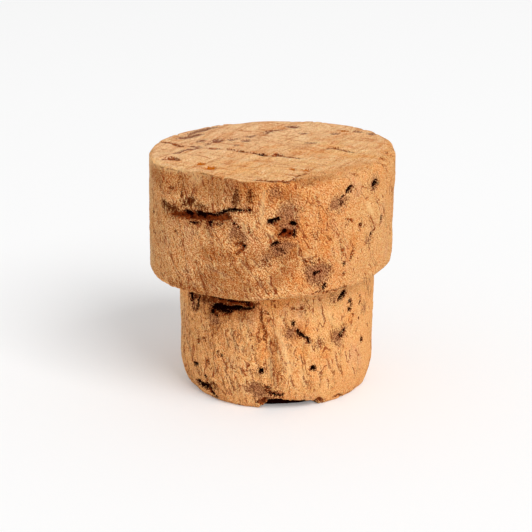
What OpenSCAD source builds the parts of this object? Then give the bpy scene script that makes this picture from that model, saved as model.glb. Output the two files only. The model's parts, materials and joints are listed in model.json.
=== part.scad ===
// Natural cork stopper, hand-cut in one piece: a wide head on a narrower, slightly off-centre shank.
// Millimetres, +Z up, origin on the shank's axis in the plane that the foot stands on.
// A bearing is measured in degrees about Z from the front (-Y), positive towards the right (+X).

/* [Head] */
// Diameter of the head
head_d = 29.7; // [27:0.1:40]
// Height of the head, measured on the shank's axis
head_h = 14.1; // [10:0.1:25]
// How far the head's lower end stands off the shank's axis, towards -X
head_shift = 0.8; // [0:0.05:1.2]
// Lean of the head from upright, towards +X, in degrees
head_lean = 1.1; // [0:0.1:2]
// Slope of the top face, rising towards +X, in degrees
top_slope = 1.2; // [0:0.1:3]
// Slope of the shoulder under the head, rising towards +X, in degrees
shoulder_slope = 2.2; // [0:0.1:3]

/* [Shank] */
// Diameter of the shank, which presses into the neck
shank_d = 24; // [18:0.1:25]
// Height of the shank on its axis, from the foot to the shoulder
shank_h = 15.2; // [12:0.1:30]
// How much narrower in radius the foot is than the shank
foot_wear = 1.0; // [0.4:0.05:2]
// Height over which the shank rounds in to the foot
foot_wear_h = 3.5; // [2.5:0.1:5]
// How far below the shoulder's lowest side the shank's straight wall ends
corner_h = 0.1; // [0.05:0.05:0.5]
// How much the shank widens into the corner, for each millimetre from there up
corner_flare = 0.25; // [0.1:0.05:0.5]

/* [Worn rims] */
// Wear of the rim round the top face
top_wear = 0.45; // [0.3:0.05:1]
// Wear of the same rim where it is rubbed round
rubbed_wear = 1.15; // [0.8:0.05:1.6]
// Bearing at which the rubbed stretch begins
rubbed_from = 9; // [0:1:30]
// Bearing at which the rubbed stretch ends
rubbed_to = 92; // [60:1:120]
// Wear of the rim round the shoulder
shoulder_wear = 0.8; // [0.3:0.05:1.2]

/* [Flat cut on the head] */
// Bearing that the knife's flat cut at the top rim faces
flat_bearing = -38; // [-50:1:-26]
// How far in from the round the flat reaches at the top
flat_in = 1.55; // [0.8:0.05:2.2]
// How far down the wall the flat runs out
flat_h = 6; // [5:0.1:8]

/* [Notch in the foot] */
// Width of the broken-out notch
notch_w = 5.6; // [3:0.1:8]
// Height of the notch at its left end
notch_left_h = 1.35; // [0.8:0.05:2]
// Height of the notch at its right end
notch_right_h = 0.65; // [0.4:0.05:2]
// Depth of the notch, inwards from the foot's edge
notch_deep = 2.6; // [1:0.1:4]
// Bearing of the middle of the notch
notch_bearing = 10; // [-20:1:40]

/* [Pores and cracks] */
// Depth of the long crevices, which follow the grain
crevice_deep = 1.5; // [0.8:0.1:2.5]
// Depth of the short slits
slit_deep = 0.8; // [0.4:0.1:1.5]
// Depth of the round pores
pore_deep = 0.9; // [0.4:0.1:1.5]
// Depth of the hairline cracks in the top face
hairline_deep = 0.35; // [0.2:0.05:0.8]

/* [Hidden] */
$fn = 80;
small_fn = 20;  // facets of the small round shapes
cork = [0.87, 0.63, 0.40];
past = 2;  // how far a cutting shape reaches past the surface it cuts
head_r = head_d / 2;
shank_r = shank_d / 2;
// The foot rounds in on a circle about a point on the axis, through the shank's wall and the foot's edge
foot_mid = (2 * shank_r * foot_wear - foot_wear ^ 2 + foot_wear_h ^ 2) / (2 * foot_wear_h);
foot_round = norm([shank_r, foot_wear_h - foot_mid]);
// The straight wall ends level, all round, just under the lowest side of the sloping shoulder
wall_top = shank_h - shank_r * tan(shoulder_slope) - corner_h;
corner_r = shank_r + corner_flare * (shank_h + past - wall_top);

// Groups of slits in the head's wall: [bearing, share of the head's height, slits], where a slit is
// [distance across and up from there, length, width, turn from level]
head_crevices = [[-43, 0.69, [
    [0, 0, 3.6, 0.9, 3], [1.8, 0, 4.2, 1.1, 0], [4.0, 0.15, 3.8, 1.0, 4], [6.2, 0.7, 3.6, 0.6, 14],
    [8.2, 1.1, 3.0, 0.5, 4]]]];
head_slits = [
    [0.5, 0.69, [[0, 0, 1.9, 0.7, 20]]],
    [6, 0.58, [[-0.2, 0.1, 1.3, 0.7, 60], [0.25, -0.1, 1.1, 0.5, 100]]],
    [1.5, 0.49, [[0, 0, 1.5, 0.5, 12]]],
    [36, 0.87, [[0, 0, 1.5, 0.55, 57]]],
    [60, 0.55, [[0, 0, 1.3, 0.5, 80]]],
    [-14, 0.48, [[0, 0, 1.0, 0.4, -20], [-0.35, -0.4, 1.0, 0.35, 80]]],
    [25, 0.11, [[0, 0, 0.9, 0.4, 60]]],
    [28, 0.26, [[0, 0, 0.7, 0.35, 40]]]];
// Pores in the head's wall: [bearing, share of the head's height, radius]
head_pores = [
    [9, 0.65, 0.38], [52, 0.86, 0.5], [44, 0.54, 0.32], [32, 0.79, 0.35], [52, 0.44, 0.25],
    [35, 0.24, 0.3], [20, 0.21, 0.3], [23.5, 0.24, 0.25], [-52, 0.88, 0.25],
    [-71, 0.59, 0.45], [-70, 0.41, 0.4], [-78, 0.67, 0.4], [-85, 0.46, 0.4]];

// The same for the shank's wall, with shares of the shank's height
shank_crevices = [
    [-36, 0.83, [[0, 0, 4.4, 1.1, 2], [2.1, 0.15, 4.6, 0.9, 3], [4.3, 0.4, 3.6, 0.5, 2]]],
    [-38, 0.91, [[0, 0, 4.6, 0.35, -3], [3.0, 0, 4.4, 0.3, 3]]],
    [-60, 0.79, [[0, 0, 1.7, 0.5, 88], [1.1, 0.1, 2.0, 0.4, 92]]]];
shank_slits = [
    [-8.5, 0.78, [[0, 0, 2.2, 0.35, 86], [0.1, -1.5, 2.2, 0.3, 94]]],
    [13, 0.65, [[-0.3, 0.9, 1.4, 0.45, 115], [0, 0.1, 1.3, 0.5, 130], [0.7, -0.35, 1.4, 0.5, 165],
        [1.2, -0.8, 1.0, 0.35, 95]]],
    [39, 0.585, [[0, 0, 1.1, 0.5, 95]]],
    [58, 0.47, [[0, 0, 1.1, 0.8, 85]]],
    [40.5, 0.915, [[0, 0, 1.8, 0.9, 62]]]];
shank_pores = [
    [47, 0.84, 0.32], [45, 0.78, 0.28], [57, 0.80, 0.3], [-55, 0.285, 0.4], [-34, 0.43, 0.2],
    [-9, 0.345, 0.4], [21, 0.35, 0.4]];
// Chips broken out of the foot's edge: [bearing, height, slits]
foot_chips = [
    [-55, 1.5, [[0, 0, 2.2, 0.9, -12]]], [-43, 1.1, [[0, 0, 2.0, 0.7, -60]]],
    [38, 0.55, [[0, 0, 1.6, 0.8, 8]]], [57, 0.8, [[0, 0, 1.2, 0.7, 60]]]];

// Hairline cracks in the top face: [x and y as shares of the head's radius, length, width, turn]
top_cracks = [
    [-0.84, 0.27, 3.6, 0.3, -33], [-0.48, 0.06, 1.9, 0.3, -15], [-0.19, -0.04, 5.2, 0.35, -33],
    [0.07, -0.20, 2.0, 0.4, -32], [-0.83, -0.24, 1.9, 0.6, -30], [0.01, -0.96, 3.8, 0.3, -12],
    [0.54, -0.05, 3.6, 0.35, -33], [0.16, 0.97, 1.2, 0.6, 90]];

// Radius of the shank's wall at a height above the foot
function wall_r(z) = z < foot_wear_h ? sqrt(foot_round ^ 2 - (foot_mid - z) ^ 2) : shank_r;

// A lens of two arcs, long and thin, centred on the origin
module lens(length, width) {
    arc_r = (length ^ 2 + width ^ 2) / (4 * width);
    intersection() {
        translate([0, arc_r - width / 2]) circle(r = arc_r);
        translate([0, width / 2 - arc_r]) circle(r = arc_r);
    }
}

// Cutters that sink into the plane z = 0
module slit(length, width, deep)
    translate([0, 0, -deep]) linear_extrude(deep + past) lens(length, width);

module pore(radius, deep)
    translate([0, 0, -deep]) cylinder(h = 2 * deep, r1 = 0.55 * radius, r2 = 1.45 * radius, $fn = small_fn);

// Degrees of bearing that an arc of the given length takes up on a round wall
function arc_deg(arc, r) = arc / r * 180 / PI;

// Frames in which +Z is out of the surface, +X along it and +Y up or inwards
module head_frame() translate([-head_shift, 0, shank_h]) rotate([0, head_lean, 0]) children();

module on_head(bearing, height)
    head_frame() rotate([0, 0, bearing]) translate([0, -head_r, height]) rotate([90, 0, 0]) children();

module on_shank(bearing, height)
    rotate([0, 0, bearing]) translate([0, -wall_r(height), height]) rotate([90, 0, 0]) children();

// One group's slits, laid out round its bearing and height
module head_group(bearing, height, slits, deep)
    for (s = slits)
        on_head(bearing + arc_deg(s[0], head_r), height + s[1]) rotate(s[4]) slit(s[2], s[3], deep);

module shank_group(bearing, height, slits, deep)
    for (s = slits)
        on_shank(bearing + arc_deg(s[0], shank_r), height + s[1]) rotate(s[4]) slit(s[2], s[3], deep);

module on_top()
    translate([0, 0, shank_h + head_h]) rotate([0, -top_slope, 0])
        translate([head_h * tan(head_lean) - head_shift, 0, 0]) children();

module on_shoulder() translate([0, 0, shank_h]) rotate([0, -shoulder_slope, 0]) children();

// Takes the corner off a rim of radius r that lies in z = 0, on a shallow arc
module worn_rim(r, wear, sweep = 360) {
    inset = 2 * wear;
    rotate_extrude(angle = sweep)
        translate([r - inset, -inset]) difference() {
            square(inset + past);
            circle(r = norm([inset, inset - wear]), $fn = small_fn);
        }
}

// The knife's flat: a steep plane that takes a slice off the top rim and runs out into the wall
module rim_flat()
    on_top() rotate(flat_bearing) translate([0, flat_in - head_r, 0]) rotate([-atan(flat_in / flat_h), 0, 0])
        translate([-head_r, -3 * past, -2 * flat_h]) cube([head_d, 3 * past, 3 * flat_h]);

module head_blank()
    difference() {
        head_frame() translate([0, 0, -past]) cylinder(h = head_h + 2 * past, r = head_r);
        on_top() translate([-head_d, -head_d, 0]) cube([2 * head_d, 2 * head_d, 3 * past]);
        on_shoulder() translate([-head_d, -head_d, -3 * past]) cube([2 * head_d, 2 * head_d, 3 * past]);
        on_top() worn_rim(head_r, top_wear);
        on_top() rotate(rubbed_from - 90) worn_rim(head_r, rubbed_wear, rubbed_to - rubbed_from);
        on_shoulder() translate([-head_shift, 0, 0]) mirror([0, 0, 1]) worn_rim(head_r, shoulder_wear);
        rim_flat();
    }

module shank_blank()
    rotate_extrude() intersection() {
        polygon([[0, 0], [shank_r, 0], [shank_r, wall_top], [corner_r, shank_h + past], [0, shank_h + past]]);
        union() {
            translate([0, foot_mid]) circle(r = foot_round);
            translate([0, foot_wear_h]) square([shank_d, shank_h]);
        }
    }

// The notch broken out of the foot, wider and higher at its left end
module foot_notch()
    rotate([0, 0, notch_bearing]) translate([0, notch_deep - wall_r(0), 0]) rotate([90, 0, 0])
        linear_extrude(notch_deep + past) polygon([
            [-notch_w / 2, -past], [-notch_w / 2, notch_left_h * 0.9], [-notch_w / 3, notch_left_h],
            [notch_w / 3, notch_right_h], [notch_w / 2, -past / 10], [notch_w / 2, -past]]);

module head_marks() {
    for (m = head_crevices) head_group(m[0], m[1] * head_h, m[2], crevice_deep);
    for (m = head_slits) head_group(m[0], m[1] * head_h, m[2], slit_deep);
    for (m = head_pores) on_head(m[0], m[1] * head_h) pore(m[2], pore_deep);
    for (m = top_cracks)
        on_top() translate([m[0] * head_r, m[1] * head_r, 0]) rotate(m[4]) slit(m[2], m[3], hairline_deep);
}

module shank_marks() {
    for (m = shank_crevices) shank_group(m[0], m[1] * shank_h, m[2], crevice_deep);
    for (m = shank_slits) shank_group(m[0], m[1] * shank_h, m[2], slit_deep);
    for (m = shank_pores) on_shank(m[0], m[1] * shank_h) pore(m[2], pore_deep);
    for (m = foot_chips) shank_group(m[0], m[1], m[2], slit_deep);
    foot_notch();
}

module stopper()
    color(cork) difference() {
        union() {
            head_blank();
            shank_blank();
        }
        head_marks();
        shank_marks();
    }

stopper();
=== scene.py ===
"""The cork stopper's looks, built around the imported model.

One closed mesh stands for the CAD solid. It has the same form, and the surface of hand-cut natural cork: pores,
torn crevices, worn rims, folds and grain. Its lengths are in millimetres until the mesh is made in metres.
A bearing is an angle about Z from the front (-Y), positive towards the right (+X).
"""
import itertools
import json
import math

import bpy
import numpy as np
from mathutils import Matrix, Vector


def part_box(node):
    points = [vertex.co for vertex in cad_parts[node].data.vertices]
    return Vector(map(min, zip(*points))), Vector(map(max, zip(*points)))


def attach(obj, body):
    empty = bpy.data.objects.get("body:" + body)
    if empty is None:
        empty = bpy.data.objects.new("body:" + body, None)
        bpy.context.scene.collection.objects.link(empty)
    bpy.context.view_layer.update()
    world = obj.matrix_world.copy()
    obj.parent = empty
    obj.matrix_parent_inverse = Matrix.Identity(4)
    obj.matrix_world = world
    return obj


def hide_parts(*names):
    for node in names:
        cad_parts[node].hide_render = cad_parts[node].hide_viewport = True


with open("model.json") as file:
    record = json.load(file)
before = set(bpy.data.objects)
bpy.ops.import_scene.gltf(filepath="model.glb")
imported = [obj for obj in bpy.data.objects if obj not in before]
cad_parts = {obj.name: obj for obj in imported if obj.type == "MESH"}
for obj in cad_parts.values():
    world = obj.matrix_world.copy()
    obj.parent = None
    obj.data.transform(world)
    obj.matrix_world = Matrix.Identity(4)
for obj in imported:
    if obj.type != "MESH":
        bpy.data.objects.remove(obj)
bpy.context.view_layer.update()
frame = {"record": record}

# ---------------------------------------------------------------- the form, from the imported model
MM = 1000.0
low, high = (np.array(corner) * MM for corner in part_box("stopper"))
shank = next(m for m in frame["record"]["mounts"] if m["name"] == "shank")
SHANK_R = shank["dims"]["r_mm"]
WALL_FROM = shank["pos_m"][2] * MM - shank["dims"]["length_mm"] / 2
WALL_TO = shank["pos_m"][2] * MM + shank["dims"]["length_mm"] / 2
HEAD_R = (high[1] - low[1]) / 2
HEAD_SHIFT = -low[0] - HEAD_R
LEAN = math.tan(math.radians(1.1))
TOP_SLOPE = math.tan(math.radians(1.2))
SHOULDER_SLOPE = math.tan(math.radians(2.2))
CORNER_H = 0.1
CORNER_REACH = 0.45
FOOT_WEAR = 1.0
FOOT_EDGE = 0.35
TOP_WEAR = 0.45
SHOULDER_Z = WALL_TO + CORNER_H + SHANK_R * SHOULDER_SLOPE
TOP_Z = high[2] - (high[0] - TOP_WEAR) * TOP_SLOPE
HEAD_H = TOP_Z - SHOULDER_Z
# The foot draws in by FOOT_WEAR at the floor, on an arc about this height
FOOT_MID = (2 * SHANK_R * FOOT_WEAR - FOOT_WEAR**2 + WALL_FROM**2) / (2 * WALL_FROM)
FOOT_ROUND = math.hypot(SHANK_R, WALL_FROM - FOOT_MID)

# The tree's radius, along which the pore channels run, lies level at this bearing
GRAIN = math.radians(60)
ALONG = np.array([math.sin(GRAIN), -math.cos(GRAIN), 0.0])
ACROSS = np.array([math.cos(GRAIN), math.sin(GRAIN), 0.0])

# The notch broken out of the foot: its roof's height at each bearing, and how far from the axis its wall stands
NOTCH_BEARINGS = (-12, -9.5, -8, -6, -4.5, 1, 8, 14, 19, 23, 26, 28)
NOTCH_ROOF = (0, 0.35, 0.4, 1.0, 1.45, 1.35, 1.1, 1.0, 0.85, 0.65, 0.5, 0)
NOTCH_WALL_R = 9.6

# The knife's flat on the head's top rim: the bearing it faces, how far in it reaches and how far down it runs, and
# the hollow along its middle, with that hollow's half-width in radians and its height
FLAT_TURN = math.radians(-38)
FLAT_IN = 1.55
FLAT_H = 6.0
HOLLOW_IN = 0.4
HOLLOW_TURN = 0.13
HOLLOW_H = 3.0

LEAN_OF_FOLDS = 0.03  # how far the wall's folds turn about the axis, in radians for each millimetre up
LEAN_OF_CHIPS = 0.045  # the same for the small torn chips
LEAN_ON_SHANK = 0.35  # the share of it that the shank's folds and chips have

# Heights and lengths of the relief, in millimetres
WAVES_H = 0.12
LUMPS_H = 0.10
FOLDS_H = 0.18
FOLD_STEP = 1.4
FOLD_CLIFF = 0.15  # the share of a step over which the wall drops to the next fold
RIM_CHIPS_H = 0.32

# ---------------------------------------------------------------- marks
# By kind: (half-width, depth), in millimetres, and the paths that have them. A path is its points in turn, each a
# bearing in degrees and a share of the height.
HEAD_MARKS = {
    "black": {
        (0.28, 0.8): [(-44, 0.695, -42, 0.7, -40.5, 0.69)],
        (0.16, 0.6): [(-41, 0.68, -41, 0.665), (52, 0.815), (108, 0.32)],
        (0.28, 0.9): [(-38.5, 0.705, -36, 0.707, -33, 0.702)],
        (0.2, 0.7): [(-34.5, 0.69, -33.5, 0.68), (124, 0.58, 126, 0.57)],
        (0.13, 0.6): [(-33, 0.71, -29, 0.714, -25.5, 0.722)],
        (0.16, 0.7): [(-25.5, 0.725, -22.5, 0.75, -19.5, 0.773), (22, 0.21)],
        (0.18, 0.8): [(-20, 0.773, -17.5, 0.778, -15.5, 0.775)], (0.11, 0.5): [(-16, 0.78, -12.5, 0.77)],
        (0.16, 0.4): [(-10.5, 0.79, -10, 0.77)], (0.09, 0.3): [(-40, 0.625, -34, 0.635), (-26, 0.645, -22, 0.65)],
        (0.17, 0.4): [(-29.5, 0.655, -27.5, 0.645)], (0.14, 0.4): [(-28, 0.625)], (0.12, 0.3): [(-17, 0.665)],
        (0.1, 0.3): [(-15, 0.635)], (0.2, 0.5): [(-12.5, 0.475, -11.5, 0.465)],
        (0.24, 1): [(-1.5, 0.675, 0.5, 0.685)], (0.16, 0.9): [(0, 0.68, 2, 0.69, 4, 0.7)], (0.3, 1.1): [(9.5, 0.65)],
        (0.22, 0.8): [(5.5, 0.605, 5.5, 0.57), (96, 0.74, 98, 0.75), (-112, 0.83, -110, 0.84)],
        (0.13, 0.5): [(3, 0.57, 4, 0.56)], (0.12, 0.4): [(7.5, 0.565, 8.5, 0.565), (32.5, 0.815)],
        (0.11, 0.4): [(10, 0.6, 10.5, 0.565, 9.5, 0.54)],
        (0.19, 0.8): [(0, 0.475, 1, 0.49, 3.5, 0.495), (51.5, 0.42)],
        (0.24, 0.9): [(34.5, 0.85, 36, 0.865, 37.5, 0.885), (-142, 0.72, -141, 0.69)],
        (0.5, 1.2): [(52, 0.845, 55, 0.84)], (0.14, 0.8): [(60, 0.535, 61, 0.485)],
        (0.17, 0.8): [(35, 0.245, 34.5, 0.23)], (0.2, 0.8): [(20, 0.21, 20, 0.19), (158, 0.4, 163, 0.41, 167, 0.4)],
        (0.08, 0.4): [(20, 0.205, 22, 0.21)], (0.14, 0.7): [(24.5, 0.105, 25, 0.09, 24, 0.065)],
        (0.1, 0.5): [(44, 0.53)], (0.14, 0.6): [(138, 0.8, 144, 0.81, 148, 0.8)],
        (0.15, 0.6): [(182, 0.66), (-102, 0.22)], (0.18, 0.7): [(-164, 0.24), (-126, 0.45)]},
    "rust": {
        (0.46, 0.6): [(-52, 0.652, -47, 0.665, -40, 0.682, -33, 0.692, -26, 0.695, -22, 0.695, -18.5, 0.7)],
        (0.25, 0.4): [(-24, 0.7, -19, 0.745)], (0.26, 0.5): [(44, 0.53), (-78, 0.67)],
        (0.2, 0.5): [(-16, 0.49, -13.5, 0.495, -11.5, 0.47), (27, 0.23, 27.5, 0.24)],
        (0.18, 0.3): [(-13, 0.45, -16, 0.395)], (0.16, 0.3): [(-12, 0.46, -14, 0.43), (-3, 0.32)],
        (0.12, 0.3): [(-11, 0.64, -9, 0.58), (-0.5, 0.305), (118, 0.86, 119, 0.82), (-152, 0.52)],
        (0.42, 0.4): [(4, 0.565, 7, 0.57, 10, 0.565)], (0.15, 0.4): [(-0.5, 0.655, 2, 0.65)],
        (0.17, 0.3): [(10, 0.96, 11, 0.96)],
        (0.1, 0.3): [(60, 0.475, 58.5, 0.46), (40.5, 0.165), (-38.5, 0.57, -37.5, 0.53), (21.5, 0.34, 22, 0.28),
            (-36, 0.3, -35.5, 0.27), (88, 0.5, 89, 0.46)],
        (0.09, 0.3): [(56, 0.455, 53, 0.43), (18, 0.575, 18.5, 0.54, 20, 0.495, 22, 0.48),
            (32, 0.45, 33, 0.38, 34, 0.31), (35, 0.615, 37.5, 0.605, 39.5, 0.58), (35.5, 0.17, 34.5, 0.135),
            (14, 0.345, 16.5, 0.32, 19.5, 0.295)],
        (0.08, 0.3): [(20, 0.555, 21, 0.525)], (0.08, 0.2): [(24.5, 0.5, 27.5, 0.465), (16.5, 0.35, 19, 0.33)],
        (0.13, 0.4): [(40.5, 0.345, 39, 0.3, 38.5, 0.25)],
        (0.12, 0.4): [(39, 0.585), (-48.3, 0.857, -47, 0.797), (-49.5, 0.53, -47.5, 0.5)],
        (0.16, 0.4): [(-56, 0.86, -53, 0.865), (-134, 0.16, -130, 0.17)], (0.1, 0.4): [(-55.5, 0.84, -54.5, 0.81)],
        (0.3, 0.6): [(-71, 0.59)], (0.26, 0.6): [(-70, 0.41)], (0.34, 0.7): [(-85, 0.46)],
        (0.07, 0.3): [(18, 0.02, 21, 0.04, 27, 0.03, 32, 0.03, 37, 0.03)],
        (0.3, 0.4): [(156, 0.38, 163, 0.385, 169, 0.39)], (0.14, 0.4): [(176, 0.24, 178, 0.19)]},
    "stain": {
        (0.7, 0.1): [(97, 0.72, 98, 0.66), (52, 0.85)], (0.6, 0): [(124, 0.55), (160, 0.45, 166, 0.44)],
        (0.8, 0.1): [(-142, 0.68, -143, 0.6)], (0.7, 0): [(-126, 0.43)],
        (0.5, 0): [(-17.5, 0.655, -16, 0.6, -18.5, 0.54)], (1.15, 0.1): [(6.5, 0.79, 7, 0.745, 7.5, 0.695)],
        (0.45, 0): [(-13, 0.58, -12, 0.52)], (0.85, 0.2): [(4.5, 0.64, 8, 0.6, 6, 0.555)],
        (0.85, 0.1): [(0.5, 0.44, 4, 0.44, 8.5, 0.47)], (0.45, 0.1): [(-1.5, 0.4, -2.5, 0.35, -3.5, 0.315)],
        (1, 0.1): [(28.5, 0.8, 30.5, 0.73)], (0.5, 0.1): [(33, 0.79)], (0.35, 0): [(50.5, 0.37)],
        (1.3, 0.1): [(17, 0.24, 21, 0.195, 26, 0.215)], (0.4, 0): [(-29, 0.62), (-1, 0.94, 3, 0.9)]},
    # shade: painted shade on the knife's flat and under the top rim at the left; elsewhere darker patches and brown
    # streaks
    "shade": {
        (0.6, 0): [(-16, 0.98, -16, 0.88, -16, 0.8), (-16, 0.6, -15, 0.5)],
        (0.5, 0): [(-10, 0.99, -10, 0.9, -10, 0.81), (-28, 0.95, -26, 0.8)],
        (1, 0): [(-58, 0.69, -40, 0.67, -20, 0.66), (-2, 0.42, 12, 0.4), (-7, 0.4, -12, 0.28)],
        (0.8, 0): [(-22, 0.1, -12, 0.12, -3, 0.14), (-2, 0.12, 10, 0.3), (23, 0.23),
            (-50, 0.05, -30, 0.05, -10, 0.05)],
        (0.7, 0): [(2, 0.9, 10, 0.86)],
        (1.3, 0): [(-34, 0.16, -12, 0.24), (-72, 0.93, -50, 0.92, -28, 0.95, -8, 0.97)],
        (0.9, 0): [(-33, 0.4, -18, 0.36), (6, 0.76, 4, 0.48)]},
    # glow: a darker, warmer orange tint of the cork
    "glow": {
        (2.2, 0): [(10, 0.45, 10, 0.7)], (2, 0): [(-14, 0.97, 8, 0.97)], (0.9, 0): [(22, 0.72, 25, 0.5, 24, 0.36)],
        (0.7, 0): [(15, 0.58, 14, 0.42)], (0.8, 0): [(8, 0.2, 16, 0.12)],
        (0.6, 0): [(14, 0.9, 17, 0.8), (40, 0.45, 38, 0.3)], (0.4, 0): [(-14, 0.45, -17, 0.38)]},
    # pale: the line along the top rim at the left is a painted highlight; the others are paler streaks
    "pale": {
        (0, 0): [(-95, 1, -60, 1, -32, 1)],
        (0.15, 0): [(-3.5, 0.93, -4.5, 0.81, -4.5, 0.66), (-13, 0.66, -12, 0.6), (-1, 0.6, 0, 0.55)],
        (0.2, 0): [(48, 0.7, 52, 0.6)],
        (0.1, 0): [(15, 0.36, 18.5, 0.335), (-30, 0.56, -28, 0.53), (-24, 0.24, -21, 0.21), (11, 0.72, 11.5, 0.68)]},
    "soot": {
        (0.5, 0.1): [(-59, 0.735, -56, 0.71, -52, 0.7, -48, 0.7)],
        (0.6, 0.1): [(-45.3, 0.757, -42.5, 0.785, -39.5, 0.8)],
        (0.3, 0): [(-39, 0.762, -35.3, 0.762, -31.7, 0.767), (-10, 0.95, -10, 0.84), (-52, 0.67, -50, 0.63)],
        (0.35, 0.1): [(-10.5, 0.785, -9.5, 0.755), (2, 0.455, 5.5, 0.415)],
        (0.3, 0.1): [(-30, 0.65, -27, 0.64), (5, 0.6, 5, 0.56)],
        (0.2, 0): [(31, 0.79, 32, 0.755, 33.5, 0.775), (-2.5, 0.34, -3.5, 0.315)],
        (0.42, 0): [(-16, 0.94, -16.5, 0.8)]},
    "fold": {
        (0.09, 0.2): [(-9, 0.37, -7, 0.33, -4, 0.27), (-14, 0.365, -11, 0.315), (-12.5, 0.325, -9.5, 0.255),
            (-7, 0.23, -4.5, 0.18, -3.5, 0.12)],
        (0.08, 0.16): [(-14, 0.36, -11, 0.32, -9, 0.25)],
        (0.08, 0.15): [(12, 0.48, 12.5, 0.39, 14, 0.34), (-63, 0.54, -61, 0.51), (-30, 0.26, -25, 0.24, -20, 0.21),
            (-22, 0.25, -19, 0.21, -17, 0.17), (-27, 0.6, -24.5, 0.565), (-39.5, 0.575, -37, 0.515),
            (-36, 0.57, -34, 0.515), (-26, 0.285, -23.5, 0.24), (-44, 0.195, -40, 0.185)],
        (0.07, 0.15): [(33, 0.3, 34, 0.25), (35.5, 0.6, 35.5, 0.54), (10, 0.8, 10.5, 0.7, 11, 0.58),
            (-19, 0.325, -17, 0.275), (-38, 0.115, -35.5, 0.075), (-33.5, 0.11, -31.5, 0.075),
            (-28.5, 0.1, -26.5, 0.06), (-22.5, 0.095, -20.5, 0.055), (-16, 0.09, -14.5, 0.035),
            (-12, 0.15, -11, 0.09), (-11, 0.655, -9, 0.555), (-57, 0.7, -54.5, 0.63), (-61.5, 0.495, -59.5, 0.44),
            (-55, 0.44, -53.5, 0.385), (-46, 0.46, -44.5, 0.395), (-33.5, 0.455, -32, 0.41),
            (-0.5, 0.215, 0.5, 0.125), (4, 0.28, 5.5, 0.21), (9, 0.235, 10, 0.165), (28, 0.41, 29, 0.34),
            (21, 0.72, 21.5, 0.635), (25, 0.625, 25.5, 0.54)],
        (0.08, 0.2): [(-31, 0.29, -27, 0.265), (-42.5, 0.105, -40.5, 0.08)]},
}
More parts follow.
